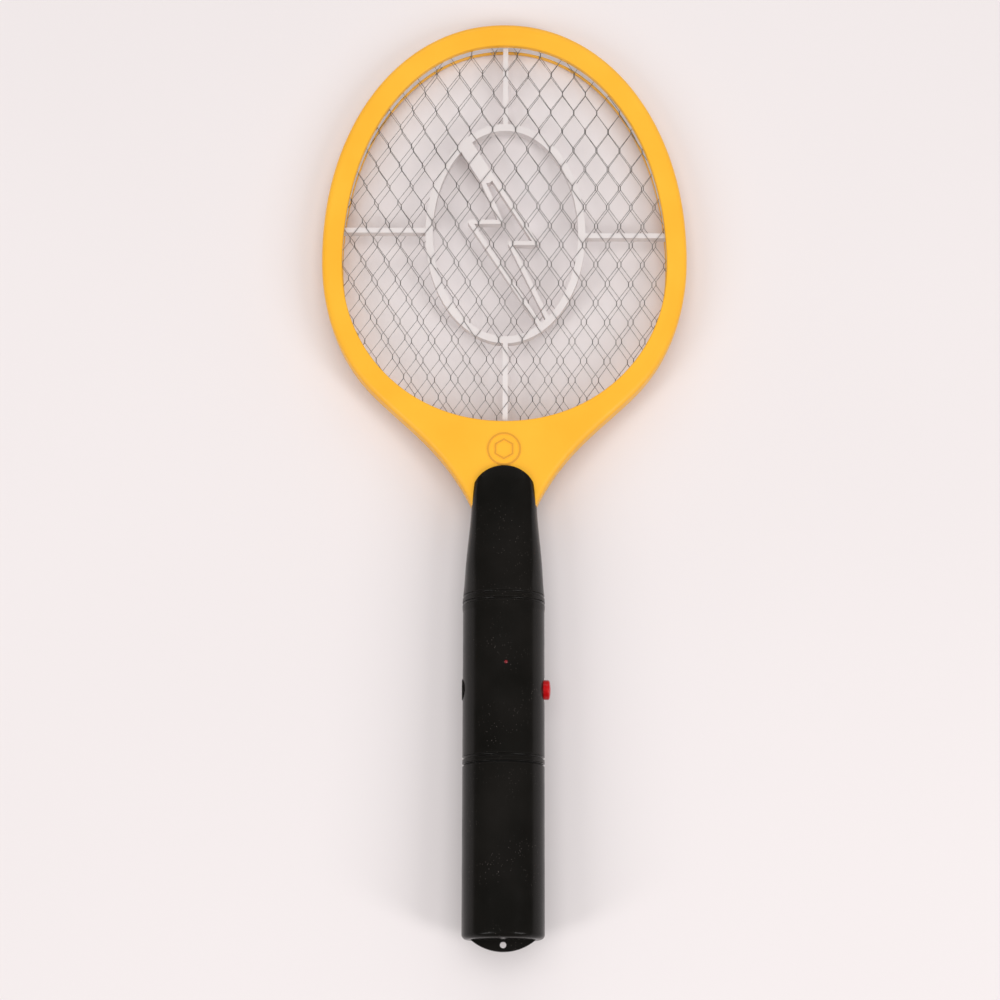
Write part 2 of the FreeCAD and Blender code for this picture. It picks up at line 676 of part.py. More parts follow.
def battery_sleeve():
    body = rod((0, SLEEVE_START_Y, MID_Z), (0, SLEEVE_END_Y, MID_Z), HANDLE_R)
    ends = [edge for edge in body.Edges if edge.BoundBox.YMax < SLEEVE_END_Y + 1]
    body = body.makeFillet(SLEEVE_EDGE_R, ends)
    low, high = MID_Z - TAB_THICKNESS / 2, MID_Z + TAB_THICKNESS / 2
    disc = rod((0, TAB_TIP_Y + TAB_R, low), (0, TAB_TIP_Y + TAB_R, high), TAB_R)
    tab = disc.common(box((-WIDE, TAB_TIP_Y - 1, low), (WIDE, SLEEVE_END_Y + 1, high)))
    body = body.fuse(tab)
    for ridge in underside_ridges(*SLEEVE_RIDGE):
        body = body.fuse(ridge)
    bore = rod((0, SLEEVE_START_Y + 1, MID_Z), (0, SLEEVE_END_Y + SLEEVE_END_WALL, MID_Z), SLEEVE_BORE_R)
    hole = rod((0, TAB_HOLE_Y, low - 1), (0, TAB_HOLE_Y, high + 1), TAB_HOLE_R)
    return body.cut([bore, hole, groove(SLEEVE_START_Y + 0.2)])


def side_plug():
    face = rod((PLUG_FACE_X, BUTTON_Y, MID_Z), (-PLUG_SEAT_X - 1, BUTTON_Y, MID_Z), PLUG_R)
    flange = rod((-16.0, BUTTON_Y, MID_Z), (-PLUG_SEAT_X - 0.8, BUTTON_Y, MID_Z), PLUG_FLANGE_R)
    return face.fuse(flange).removeSplitter()


# ---------------------------------------------------------------- button and switch
def button_cap():
    straight_end = BUTTON_TIP_X - BUTTON_DOME
    flange = rod((BUTTON_FLANGE_X, BUTTON_Y, MID_Z),
                 (BUTTON_FLANGE_X + BUTTON_FLANGE_THICKNESS, BUTTON_Y, MID_Z), BUTTON_FLANGE_R)
    body = rod((BUTTON_FLANGE_X, BUTTON_Y, MID_Z), (straight_end, BUTTON_Y, MID_Z), BUTTON_R)
    ball_r = (BUTTON_R ** 2 + BUTTON_DOME ** 2) / (2 * BUTTON_DOME)
    ball = Part.makeSphere(ball_r, vec(BUTTON_TIP_X - ball_r, BUTTON_Y, MID_Z))
    limit = rod((straight_end - 0.5, BUTTON_Y, MID_Z), (BUTTON_TIP_X + 1, BUTTON_Y, MID_Z), BUTTON_R)
    cap = fused([flange, body, ball.common(limit)])
    rim = [edge for edge in cap.Edges if edge.BoundBox.XMin > straight_end - 0.1
           and edge.BoundBox.XMax < straight_end + 0.1]
    cap = cap.makeFillet(BUTTON_EDGE_R, rim)
    socket = rod((BUTTON_FLANGE_X - 1, BUTTON_Y, MID_Z), (BUTTON_FLANGE_X + 2, BUTTON_Y, MID_Z), PLUNGER_R)
    return cap.cut(socket)


def switch_plunger():
    return rod((PLUNGER_START_X, BUTTON_Y, MID_Z), (BUTTON_FLANGE_X + 2, BUTTON_Y, MID_Z), PLUNGER_R)


def switch_body():
    bore = rod((PLUNGER_BORE_X, BUTTON_Y, MID_Z), (15, BUTTON_Y, MID_Z), PLUNGER_BORE_R)
    return box(*SWITCH_BOX).cut(bore)


# ---------------------------------------------------------------- circuit
def circuit_board():
    low = BOARD_TOP_Z - BOARD_THICKNESS
    board = box((-BOARD_HALF_WIDTH, BOARD_END_Y, low), (BOARD_HALF_WIDTH, BOARD_START_Y, BOARD_TOP_Z))
    corners = [edge for edge in board.Edges if edge.BoundBox.ZLength > 1]
    return board.makeFillet(1.0, corners)


def indicator_led():
    straight_top = LED_TOP_Z - LED_R
    body = rod((LED_X, LED_Y, LED_FLANGE_Z), (LED_X, LED_Y, straight_top), LED_R)
    dome = Part.makeSphere(LED_R, vec(LED_X, LED_Y, straight_top))
    flange = rod((LED_X, LED_Y, LED_FLANGE_Z), (LED_X, LED_Y, LED_FLANGE_Z + 1.0), LED_R + 0.4)
    return fused([body, dome, flange])


def led_leads():
    return Part.makeCompound([rod((x, LED_Y, BOARD_TOP_Z), (x, LED_Y, LED_FLANGE_Z), THIN_LEAD_R)
                              for x in (LED_X - LED_LEAD_STEP, LED_X + LED_LEAD_STEP)])


def transformer_core():
    width, length, height = CORE_SIZE
    low, high = BOARD_TOP_Z, BOARD_TOP_Z + height
    inner = width / 2 - CORE_WALL
    block = box((-width / 2, TRANSFORMER_Y - length / 2, low),
                (width / 2, TRANSFORMER_Y + length / 2, high))
    window = box((-inner, TRANSFORMER_Y - length, low + CORE_WALL),
                 (inner, TRANSFORMER_Y + length, high - CORE_WALL))
    leg = rod((0, TRANSFORMER_Y, low + 1), (0, TRANSFORMER_Y, high - 1), CORE_LEG_R)
    return fused([block.cut(window), leg])


def transformer_coil():
    low, high = BOARD_TOP_Z + CORE_WALL, BOARD_TOP_Z + CORE_SIZE[2] - CORE_WALL
    bobbin = rod((0, TRANSFORMER_Y, low), (0, TRANSFORMER_Y, high), COIL_R)
    for z in (low + 1, high - 2):
        bobbin = bobbin.cut(tube(TRANSFORMER_Y, z, z + 1, COIL_GROOVE_R, COIL_R + 1))
    return bobbin.cut(rod((0, TRANSFORMER_Y, low - 1), (0, TRANSFORMER_Y, high + 1),
                          CORE_LEG_R + FIT_GAP))


def tube(y, low_z, high_z, inner_r, outer_r):
    outer = rod((0, y, low_z), (0, y, high_z), outer_r)
    return outer.cut(rod((0, y, low_z), (0, y, high_z), inner_r))


def film_capacitor():
    (low_x, low_y), (high_x, high_y) = FILM_CAPACITOR
    body = box((low_x, low_y, BOARD_TOP_Z), (high_x, high_y, BOARD_TOP_Z + FILM_CAPACITOR_HEIGHT))
    upper = [edge for edge in body.Edges if edge.BoundBox.ZMax > BOARD_TOP_Z + 1]
    return body.makeFillet(0.8, upper)


def disc_capacitors():
    discs = []
    z = BOARD_TOP_Z + DISC_LIFT
    for y in DISC_YS:
        disc = rod((0, y, z), (0, y - DISC_THICKNESS, z), DISC_R)
        leg_y = y - DISC_THICKNESS / 2
        legs = [rod((x, leg_y, BOARD_TOP_Z), (x, leg_y, z - DISC_R / 2), 0.3) for x in (-1.5, 1.5)]
        discs.append(fused([disc] + legs))
    return Part.makeCompound(discs)


def axial_part(x, y, body_r, body_length):
    """Part lying along Y above the board, on one bent lead."""
    z = BOARD_TOP_Z + body_r + 0.3
    body = rod((x, y - body_length / 2, z), (x, y + body_length / 2, z), body_r)
    reach = body_length / 2 + 1.2
    path = [(x, y - reach, BOARD_TOP_Z), (x, y - reach, z), (x, y + reach, z),
            (x, y + reach, BOARD_TOP_Z)]
    return body.fuse(bent_wire(path, THIN_LEAD_R, 0.6))


def rectifier_diodes():
    return Part.makeCompound([axial_part(x, y, DIODE_R, DIODE_LENGTH) for x, y in DIODES])


def resistors():
    return Part.makeCompound([axial_part(x, y, RESISTOR_R, RESISTOR_LENGTH) for x, y in RESISTORS])


def transistor():
    x, y = TRANSISTOR
    low = BOARD_TOP_Z + TRANSISTOR_LIFT
    body = rod((x, y, low), (x, y, low + TRANSISTOR_HEIGHT), TRANSISTOR_R)
    body = body.cut(box((x - TRANSISTOR_R - 1, y + TRANSISTOR_FLAT, low - 1),
                        (x + TRANSISTOR_R + 1, y + TRANSISTOR_R + 1, low + TRANSISTOR_HEIGHT + 1)))
    legs = [rod((x + step, y - 0.3, BOARD_TOP_Z), (x + step, y - 0.3, low + 1), THIN_LEAD_R)
            for step in (-1.2, 0, 1.2)]
    return fused([body] + legs)


# ---------------------------------------------------------------- battery bay
def battery_tray():
    """Plug held by the shells, and a trough that the batteries lie in."""
    plug = rod((0, TRAY_PLUG_START_Y, MID_Z), (0, TRAY_FACE_Y, MID_Z), TRAY_R)
    end_disc = rod((0, TRAY_BACK_Y, MID_Z), (0, TRAY_END_Y, MID_Z), TRAY_R)
    trough = rod((0, TRAY_FACE_Y + 1, MID_Z), (0, TRAY_BACK_Y - 1, MID_Z), TRAY_R)
    trough = trough.common(box((-WIDE, TRAY_END_Y, -1), (WIDE, TRAY_FACE_Y + 1, MID_Z - 1.0)))
    channels = [rod((x, TRAY_FACE_Y, MID_Z), (x, TRAY_BACK_Y, MID_Z), BATTERY_R + 0.15)
                for x in (-BATTERY_X, BATTERY_X)]
    cuts = channels + [box((-BATTERY_X, TRAY_BACK_Y, MID_Z - CONTACT_HALF - 0.2),
                            (BATTERY_X, TRAY_FACE_Y, MID_Z))]
    tray = fused([plug, end_disc, trough]).cut(cuts)
    passages = [rod((x, TRAY_PLUG_START_Y + 1, BATTERY_LEAD_Z), (x, TRAY_FACE_Y - 1, BATTERY_LEAD_Z),
                    LEAD_R + 0.3) for x in (-BATTERY_LEAD_X, BATTERY_LEAD_X)]
    core = rod((0, TRAY_PLUG_START_Y + 1, MID_Z), (0, TRAY_FACE_Y + TRAY_WALL, MID_Z), TRAY_CORE_R)
    return tray.cut(passages + [core])


def battery(x, nub_tip_y, toward_handle):
    """One AA cell. The nub points to +Y when toward_handle is true."""
    sign = -1 if toward_handle else 1
    body_start = nub_tip_y + sign * NUB_LENGTH
    body_end = body_start + sign * BATTERY_BODY
    can = rod((x, body_start, MID_Z), (x, body_end, MID_Z), BATTERY_R)
    can = can.makeFillet(0.5, [edge for edge in can.Edges if edge.BoundBox.YLength < 1e-3])
    return can.fuse(rod((x, nub_tip_y, MID_Z), (x, body_start + sign * 0.2, MID_Z), NUB_R))


def left_battery():
    return battery(-BATTERY_X, TRAY_BACK_Y + CONTACT_THICKNESS, False)


def right_battery():
    return battery(BATTERY_X, TRAY_FACE_Y - CONTACT_THICKNESS, True)


def contact_spring(x, base_y, direction):
    """Coil that grows from its plate towards the flat end of a cell."""
    length = SPRING_LENGTH - 2 * SPRING_WIRE_R
    helix = Part.makeHelix(length / SPRING_TURNS, length, 3.6)
    profile = Part.Wire(Part.Circle(vec(3.6, 0, 0), Y_AXIS, SPRING_WIRE_R).toShape())
    coil = Part.Wire(helix.Edges).makePipeShell([profile], True, True)
    coil.rotate(vec(0, 0, 0), X_AXIS, 90 if direction < 0 else -90)
    coil.translate(vec(x, base_y + direction * SPRING_WIRE_R, MID_Z))
    return coil


def contact_plate(low_x, high_x, front_y):
    return box((low_x, front_y - CONTACT_THICKNESS, MID_Z - CONTACT_HALF),
               (high_x, front_y, MID_Z + CONTACT_HALF))


def lead_tag(x):
    return box((x - 1.6, TRAY_FACE_Y - CONTACT_THICKNESS, MID_Z),
               (x + 1.6, TRAY_FACE_Y, BATTERY_LEAD_Z + 1.4))


def spring_contact():
    plate = contact_plate(-BATTERY_X - CONTACT_HALF, -BATTERY_X + CONTACT_HALF, TRAY_FACE_Y)
    coil = contact_spring(-BATTERY_X, TRAY_FACE_Y - CONTACT_THICKNESS, -1)
    return Part.makeCompound([fused([plate, lead_tag(-BATTERY_LEAD_X)]), coil])


def plus_contact():
    plate = contact_plate(BATTERY_X - CONTACT_HALF, BATTERY_X + CONTACT_HALF, TRAY_FACE_Y)
    return fused([plate, lead_tag(BATTERY_LEAD_X)])


def bridge_contact():
    plate = contact_plate(-BATTERY_X - CONTACT_HALF, BATTERY_X + CONTACT_HALF,
                          TRAY_BACK_Y + CONTACT_THICKNESS)
    coil = contact_spring(BATTERY_X, TRAY_BACK_Y + CONTACT_THICKNESS, 1)
    return Part.makeCompound([plate, coil])


def battery_lead(side):
    x = side * BATTERY_LEAD_X
    path = [(x, TRAY_FACE_Y, BATTERY_LEAD_Z), (x, -126.0, BATTERY_LEAD_Z), (x, -126.0, BOARD_TOP_Z)]
    return bent_wire(path, LEAD_R, 3.0)


def minus_lead():
    return battery_lead(-1)


def plus_lead():
    return battery_lead(1)


PIECES = [
    front_frame, rear_frame, frame_screws, grid_spacer, front_grid, rear_grid,
    front_grid_lead, rear_grid_lead, front_handle_shell, rear_handle_shell, handle_screws,
    battery_sleeve, side_plug, button_cap, switch_plunger, switch_body,
    circuit_board, indicator_led, led_leads, transformer_core, transformer_coil, film_capacitor,
    disc_capacitors, rectifier_diodes, resistors, transistor,
    battery_tray, left_battery, right_battery, spring_contact, plus_contact, bridge_contact,
    minus_lead, plus_lead,
]

os.makedirs("parts", exist_ok=True)
for piece in PIECES:
    shape = piece()
    if not shape.isValid():
        print("not valid:", piece.__name__)
    shape.exportStep("parts/" + piece.__name__ + ".step")
    bounds = shape.BoundBox
    print("%-20s solids %2d volume %9.1f  x %7.2f..%7.2f y %7.2f..%7.2f z %6.2f..%6.2f" % (
        piece.__name__, len(shape.Solids), shape.Volume, bounds.XMin, bounds.XMax,
        bounds.YMin, bounds.YMax, bounds.ZMin, bounds.ZMax))
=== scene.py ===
"""Looks of the electric fly swatter: materials, expanded metal grids, light and camera.

Axes as in the CAD model: +Y to the tip of the head, +X to the button, +Z out of the front face.
Lengths are in metres, except that the grid sheets are drawn in millimetres.
"""
import math
import bpy
import bmesh
from mathutils import Matrix, Vector


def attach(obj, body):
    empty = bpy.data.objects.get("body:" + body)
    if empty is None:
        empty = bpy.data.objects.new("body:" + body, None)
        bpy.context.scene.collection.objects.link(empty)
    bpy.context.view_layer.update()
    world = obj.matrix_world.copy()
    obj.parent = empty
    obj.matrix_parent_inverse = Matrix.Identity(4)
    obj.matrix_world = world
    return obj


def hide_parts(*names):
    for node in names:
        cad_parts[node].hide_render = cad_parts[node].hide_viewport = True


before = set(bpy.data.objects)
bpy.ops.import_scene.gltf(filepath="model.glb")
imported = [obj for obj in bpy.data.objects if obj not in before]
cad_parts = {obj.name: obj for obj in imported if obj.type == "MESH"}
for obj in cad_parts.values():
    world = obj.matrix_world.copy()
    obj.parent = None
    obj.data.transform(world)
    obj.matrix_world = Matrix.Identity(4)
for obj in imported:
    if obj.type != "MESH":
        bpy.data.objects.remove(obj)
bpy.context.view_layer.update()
MM = 0.001

# ---------------------------------------------------------------- grid sheets, in millimetres
WINDOW_CENTRE_Y = 104.0
WINDOW_HALF_WIDTH = 79.8
WINDOW_TOP_REACH = 114.0
WINDOW_BOTTOM_REACH = 80.2
WINDOW_POWER = 2.07
GRID_MARGIN = 3.0                 # how far the sheet runs under the frame's lip
RIM_INSIDE = 2.2                  # inner edge of the sheet's solid rim, counted the same way
RIM_STEPS = 120
TAB_WIDTH = 3.6                   # the tab that the lead is joined to
TAB_END_Y = 13.2
PITCH_X = 11.48
PITCH_Y = 19.84
SHEET_THICKNESS = 0.6
STRAND_WIDTH = 0.22
BOND_LENGTH = 2.3                 # where two strands run together along Y
BOND_WIDTH = 0.42
STRAND_DEPTH = 0.25
STRAND_LEAN = 0.35                # radians that each strand leans about its own length
STRAND_OVERLAP = 0.15             # how far a strand runs into the end of a bond
ROWS = range(-3, 28)
COLUMNS = range(-10, 11)
CULL_MARGIN = 8.0                 # bonds further out than this can't reach the sheet
CUT_HALVINGS = 16
FRONT_SHEET = {"node": "front_grid", "z": 22.5, "start": (1.54, -4.0), "turn": -1.3, "tab_x": -5.0}
REAR_SHEET = {"node": "rear_grid", "z": 16.5, "start": (0.33, 7.0), "turn": 0.0, "tab_x": 5.0}

# ---------------------------------------------------------------- looks
EMBLEM_BASE_Z = 0.0261            # only the emblem stands above this on the yellow frame
EMBLEM_RISE = 0.0003
LED_HIGHLIGHT_DEPTH = 0.004
NOISE_SPAN = (0.3, 0.7)           # most noise values lie between these
EDGE_COSINES = (0.86, 0.99)       # rounded against flat normal: full painted edge highlight, none
MOULD_RELIEF = 0.00002
WELD_DISTANCE = 1e-6
ROUNDING_SEGMENTS = 2
ROUNDING_ANGLE = math.radians(35)
ROUNDED_EDGES = {"side_plug": 0.0003, "switch_body": 0.0002, "transformer_core": 0.0002,
                 "frame_screws": 0.00015, "handle_screws": 0.00015, "battery_tray": 0.0002}

# ---------------------------------------------------------------- camera, floor and light
CAMERA_TARGET = Vector((-0.0019, -0.0143, 0.0195))
CAMERA_TILT = math.radians(13.0)
CAMERA_ROLL = math.radians(0.125)
CAMERA_DISTANCE = 1.3
CAMERA_LENS = 96.73
CAMERA_SENSOR = 36.0
HANDLE_CONTACT = (-0.066, 0.0)    # y and z where the front end of the grip touches the floor
HEAD_CONTACT = (0.228, 0.013)     # the same for the tip of the head
FLOOR_SIZE = 8.0
FLOOR_GAP = 0.0002
WORLD_COLOUR = (1.0, 0.985, 0.98, 1)
WORLD_STRENGTH = 0.37
# name, place, width and length, watts
SOFT_LIGHTS = (
    ("softbox_left", (-1.15, -0.75, 1.15), (0.36, 1.0), 7.5),
    ("softbox_right", (1.15, -0.75, 1.15), (0.36, 1.0), 9.5),
    ("back_fill", (0, 1.6, 1.2), (2.0, 0.8), 6),
)
OVERHEAD = ("overhead", (0, 0, 2.2), (1.6, 1.6), 19.5)


def srgb(red, green, blue):
    """Linear colour for an eight-bit sRGB one."""
    def channel(value):
        value /= 255
        return value / 12.92 if value <= 0.04045 else ((value + 0.055) / 1.055) ** 2.4
    return (channel(red), channel(green), channel(blue), 1.0)


def span(node, axis):
    """Lowest and highest place of a CAD piece along one axis."""
    places = [corner[axis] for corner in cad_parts[node].bound_box]
    return min(places), max(places)


# ---------------------------------------------------------------- material kit
class Surface:
    """A procedural material being put together in object space."""

    def __init__(self, name, roughness=0.5, metallic=0.0, **sockets):
        self.material = bpy.data.materials.new(name)
        self.material.use_nodes = True
        self.tree = self.material.node_tree
        self.shader = self.tree.nodes["Principled BSDF"]
        self.shader.inputs["Roughness"].default_value = roughness
        self.shader.inputs["Metallic"].default_value = metallic
        for socket, value in sockets.items():
            self.shader.inputs[socket.replace("_", " ")].default_value = value
        self.place = self.node("ShaderNodeTexCoord").outputs["Object"]
        self.base = None
        self.normal = None

    def node(self, kind, **settings):
        made = self.tree.nodes.new(kind)
        for key, value in settings.items():
            setattr(made, key, value)
        return made

    def link(self, source, target):
        self.tree.links.new(source, target)

    def noise(self, size, detail=3.0, stretch=(1, 1, 1)):
        """Noise whose features are about size metres across."""
        scaled = self.node("ShaderNodeMapping")
        scaled.inputs["Scale"].default_value = tuple(axis / size for axis in stretch)
        self.link(self.place, scaled.inputs["Vector"])
        made = self.node("ShaderNodeTexNoise")
        made.inputs["Scale"].default_value = 1.0
        made.inputs["Detail"].default_value = detail
        self.link(scaled.outputs["Vector"], made.inputs["Vector"])
        return made.outputs["Fac"]

    def cells(self, size):
        """Distance from the middle of the nearest cell, in cells of about size metres."""
        made = self.node("ShaderNodeTexVoronoi", feature="F1")
        made.inputs["Scale"].default_value = 1 / size
        self.link(self.place, made.inputs["Vector"])
        return made.outputs["Distance"]

    def ramp(self, factor, stops, constant=False):
        """Colour or grey ramp through (position, colour) stops."""
        made = self.node("ShaderNodeValToRGB")
        made.color_ramp.interpolation = "CONSTANT" if constant else "LINEAR"
        points = made.color_ramp.elements
        while len(points) < len(stops):
            points.new(0.5)
        for point, (position, colour) in zip(points, stops):
            point.position = position
            point.color = colour if hasattr(colour, "__len__") else (colour, colour, colour, 1)
        self.link(factor, made.inputs["Fac"])
        return made.outputs["Color"]

    def wander(self, factor, dark, light):
        """Colour that goes from dark to light with a noise."""
        low, high = NOISE_SPAN
        return self.ramp(factor, [(low, dark), (high, light)])

    def mix(self, factor, first, second, mode="MIX"):
        """Second over first; the factor and each colour may be a value or a socket."""
        made = self.node("ShaderNodeMix", data_type="RGBA", blend_type=mode)
        for value, socket in ((factor, 0), (first, 6), (second, 7)):
            if isinstance(value, bpy.types.NodeSocket):
                self.link(value, made.inputs[socket])
            else:
                made.inputs[socket].default_value = value
        return made.outputs[2]

    def along(self, axis, low, high):
        """0 to 1 along one axis of the object, between two places in metres."""
        parts = self.node("ShaderNodeSeparateXYZ")
        self.link(self.place, parts.inputs["Vector"])
        made = self.node("ShaderNodeMapRange")
        made.inputs["From Min"].default_value = low
        made.inputs["From Max"].default_value = high
        self.link(parts.outputs[axis], made.inputs["Value"])
        return made.outputs["Result"]

    def colour(self, source):
        self.link(source, self.shader.inputs["Base Color"])

    def roughness(self, factor, low, high):
        """Roughness that goes from low to high with a noise."""
        made = self.node("ShaderNodeMapRange")
        made.inputs["From Min"].default_value = NOISE_SPAN[0]
        made.inputs["From Max"].default_value = NOISE_SPAN[1]
        made.inputs["To Min"].default_value = low
        made.inputs["To Max"].default_value = high
        self.link(factor, made.inputs["Value"])
        self.link(made.outputs["Result"], self.shader.inputs["Roughness"])

    def bump(self, height, depth, strength=1.0):
        """Adds relief, depth in metres, on top of any put in before."""
        made = self.node("ShaderNodeBump")
        made.inputs["Distance"].default_value = depth
        made.inputs["Strength"].default_value = strength
        self.link(height, made.inputs["Height"])
        if self.normal:
            self.link(self.normal, made.inputs["Normal"])
        self.normal = made.outputs["Normal"]
        self.link(self.normal, self.shader.inputs["Normal"])

    def edges(self, colour, highlight_colour, radius, amount):
        """Paints a highlight colour onto sharp edges, found from a widened normal."""
        soft = self.node("ShaderNodeBevel", samples=4)
        soft.inputs["Radius"].default_value = radius
        flat = self.node("ShaderNodeNewGeometry")
        turn = self.node("ShaderNodeVectorMath", operation="DOT_PRODUCT")
        self.link(soft.outputs["Normal"], turn.inputs[0])
        self.link(flat.outputs["Normal"], turn.inputs[1])
        full, none = EDGE_COSINES
        # painted highlight: the edge mask blends the highlight colour over the base
        mask = self.ramp(turn.outputs["Value"], [(full, amount), (none, 0.0)])
        return self.mix(mask, colour, highlight_colour)


def moulded_plastic(name, dark, light, roughness, clouds=(0.03, 4), grain=0.00035, **sockets):
    """Injection moulded plastic: cloudy base colour, fine grain and faint flow marks."""
    made = Surface(name, **sockets)
    made.base = made.wander(made.noise(*clouds), dark, light)
    made.colour(made.base)
    made.roughness(made.noise(0.012, 5), roughness - 0.05, roughness + 0.06)
    made.bump(made.noise(0.006, 2), MOULD_RELIEF * 2, 0.25)
    made.bump(made.noise(grain, 2), MOULD_RELIEF, 0.5)
    return made


def yellow_plastic():
    """Frame yellow with paler edges as a painted highlight, sparse dust and a darker emblem."""
    pale_edge_highlight, speck, emblem = srgb(255, 208, 104), srgb(236, 170, 60), srgb(224, 158, 48)
    made = moulded_plastic("yellow_moulding", srgb(250, 180, 44), srgb(254, 188, 52), 0.42,
                           Specular_IOR_Level=0.35)
    # painted highlight: sharp edges are lightened towards a paler yellow
    highlit_edges = made.edges(made.base, pale_edge_highlight, 0.0006, 0.55)
    dust = made.ramp(made.cells(0.004), [(0.0, 0.35), (0.05, 0.0)])
    plain = made.mix(dust, highlit_edges, speck)
    raised = made.along("Z", EMBLEM_BASE_Z, EMBLEM_BASE_Z + EMBLEM_RISE)
    made.colour(made.mix(raised, plain, emblem))
    return made.material


def black_plastic():
    """Satin black with a fine grain, greyer edges as a painted highlight and patches of pale dust."""
    grey_edge_highlight, speck = srgb(48, 46, 44), srgb(112, 104, 100)
    made = Surface("black_moulding", Specular_IOR_Level=0.12)
    made.base = made.wander(made.noise(0.025, 4), srgb(20, 19, 17), srgb(28, 26, 24))
    # painted highlight: sharp edges are lightened towards grey
    highlit_edges = made.edges(made.base, grey_edge_highlight, 0.0004, 0.8)
    specks = made.ramp(made.cells(0.0013), [(0.0, 1.0), (0.16, 0.0)])
    patches = made.ramp(made.noise(0.02, 3), [(0.48, 0.0), (0.62, 1.0)])
    dust = made.mix(1.0, specks, patches, "MULTIPLY")
    made.colour(made.mix(dust, highlit_edges, speck))
    made.roughness(made.noise(0.01, 5), 0.18, 0.27)
    made.bump(made.noise(0.008, 2), 0.00003, 0.3)
    made.bump(made.noise(0.0003, 2), 0.000015, 0.5)
    return made.material


def white_plastic():
    """Pale plastic of the spacer, which lets a little light in."""
    made = moulded_plastic("white_moulding", srgb(219, 211, 209), srgb(227, 219, 217), 0.55,
                           Subsurface_Weight=0.08, Subsurface_Radius=(0.002, 0.0016, 0.0014))
    return made.material


def red_plastic():
    pale_edge_highlight = srgb(228, 84, 82)
    made = moulded_plastic("red_button", srgb(186, 8, 14), srgb(206, 16, 22), 0.3, clouds=(0.004, 3),
                           grain=0.0005, Coat_Weight=0.1, Coat_Roughness=0.15,
                           Specular_IOR_Level=0.25)
    # painted highlight: sharp edges of the cap are lightened towards a paler red
    made.colour(made.edges(made.base, pale_edge_highlight, 0.0003, 0.5))
    return made.material


def dark_plastic():
    made = moulded_plastic("dark_moulding", srgb(30, 30, 31), srgb(44, 44, 45), 0.6)
    return made.material


def grid_metal():
    """Expanded aluminium sheet with drawn marks; painted shade on the strands' sides leaves the flat
    faces brighter.
    """
    made = Surface("grid_metal", metallic=0.85)
    strand_side_shade = srgb(48, 45, 44)
    drawn = made.noise(0.0012, 3, (1, 0.25, 1))
    made.base = made.wander(drawn, srgb(132, 126, 123), srgb(200, 194, 190))
    facing = made.node("ShaderNodeSeparateXYZ")
    flat = made.node("ShaderNodeNewGeometry")
    made.link(flat.outputs["Normal"], facing.inputs["Vector"])
    level = made.node("ShaderNodeMath", operation="ABSOLUTE")
    made.link(facing.outputs["Z"], level.inputs[0])
    # painted shade: faces that turn away from Z are darkened
    side_shade_mask = made.ramp(level.outputs["Value"], [(0.35, 1.0), (0.8, 0.0)])
    made.colour(made.mix(side_shade_mask, made.base, strand_side_shade))
    made.roughness(drawn, 0.30, 0.5)
    made.bump(made.noise(0.0005, 2), 0.00002, 0.6)
    return made.material


def bright_metal(name, dark, light, roughness):
    """Plated or tinned metal with fine marks along Y."""
    made = Surface(name, metallic=1.0)
    drawn = made.noise(0.0015, 4, (1, 0.2, 1))
    made.colour(made.wander(drawn, dark, light))
    made.roughness(drawn, roughness - 0.08, roughness + 0.12)
    made.bump(made.noise(0.0005, 2), 0.00001, 0.5)
    return made.material


def led_epoxy():
    """Dark red dome with painted highlights, lighter at its top and bottom."""
    made = Surface("led_epoxy", roughness=0.12, Coat_Weight=0.6, Coat_Roughness=0.06,
                   Subsurface_Weight=0.15, Subsurface_Radius=(0.001, 0.0003, 0.0003))
    top = span("indicator_led", 2)[1]
    highlight_band = made.along("Z", top - LED_HIGHLIGHT_DEPTH, top)
    # painted highlights: the red lightens near the dome's top and at the low end of the band
    made.colour(made.ramp(highlight_band, [(0.0, srgb(120, 10, 16)), (0.7, srgb(84, 10, 14)),
                                 (1.0, srgb(132, 28, 34))]))
    made.bump(made.noise(0.0006, 2), 0.00001, 0.4)
    return made.material


def board_laminate():
    """Paper laminate with darker tracks under the mask."""
    made = Surface("board_laminate", roughness=0.4)
    tracks = made.node("ShaderNodeTexBrick")
    tracks.inputs["Scale"].default_value = 120
    tracks.inputs["Mortar Size"].default_value = 0.06
    tracks.inputs["Color1"].default_value = srgb(120, 96, 48)
    tracks.inputs["Color2"].default_value = srgb(132, 104, 54)
    tracks.inputs["Mortar"].default_value = srgb(70, 84, 44)
    made.link(made.place, tracks.inputs["Vector"])
    made.colour(made.mix(made.noise(0.0008, 3), tracks.outputs["Color"], srgb(146, 120, 70)))
    made.bump(made.noise(0.0006, 2), 0.00002, 0.4)
    return made.material


def cell_wrap(node, nub_at_low):
    """AA cell painted in bands along Y: steel at both ends, a two-tone wrap between."""
    steel, dark, band = srgb(188, 186, 180), srgb(34, 66, 48), srgb(190, 120, 52)
    scuffed = srgb(150, 150, 146)
    if nub_at_low:
        stops = [(0.0, steel), (0.045, band), (0.27, dark), (0.985, steel)]
    else:
        stops = [(0.0, steel), (0.015, dark), (0.73, band), (0.955, steel)]
    wrap_start, wrap_end = stops[1][0], stops[3][0]
    made = Surface(node.replace("battery", "cell"), roughness=0.35)
    place = made.along("Y", *span(node, 1))
    paint = made.ramp(place, stops, constant=True)
    scuffs = made.ramp(made.noise(0.004, 4), [(0.3, 0.0), (0.8, 0.25)])
    made.colour(made.mix(scuffs, paint, scuffed))
    shine = made.ramp(place, [(0.0, 1.0), (wrap_start, 0.0), (wrap_end, 1.0)], constant=True)
    made.link(shine, made.shader.inputs["Metallic"])
    made.bump(made.noise(0.002, 3), 0.00002, 0.4)
    return made.material


def dipped(name, dark, light, roughness=0.3):
    """Dipped or moulded component body with an uneven skin."""
    made = Surface(name, roughness=roughness)
    made.colour(made.wander(made.noise(0.002, 4), dark, light))
    made.roughness(made.noise(0.001, 3), roughness - 0.08, roughness + 0.1)
    made.bump(made.noise(0.0015, 3), 0.0001, 0.4)
    return made.material


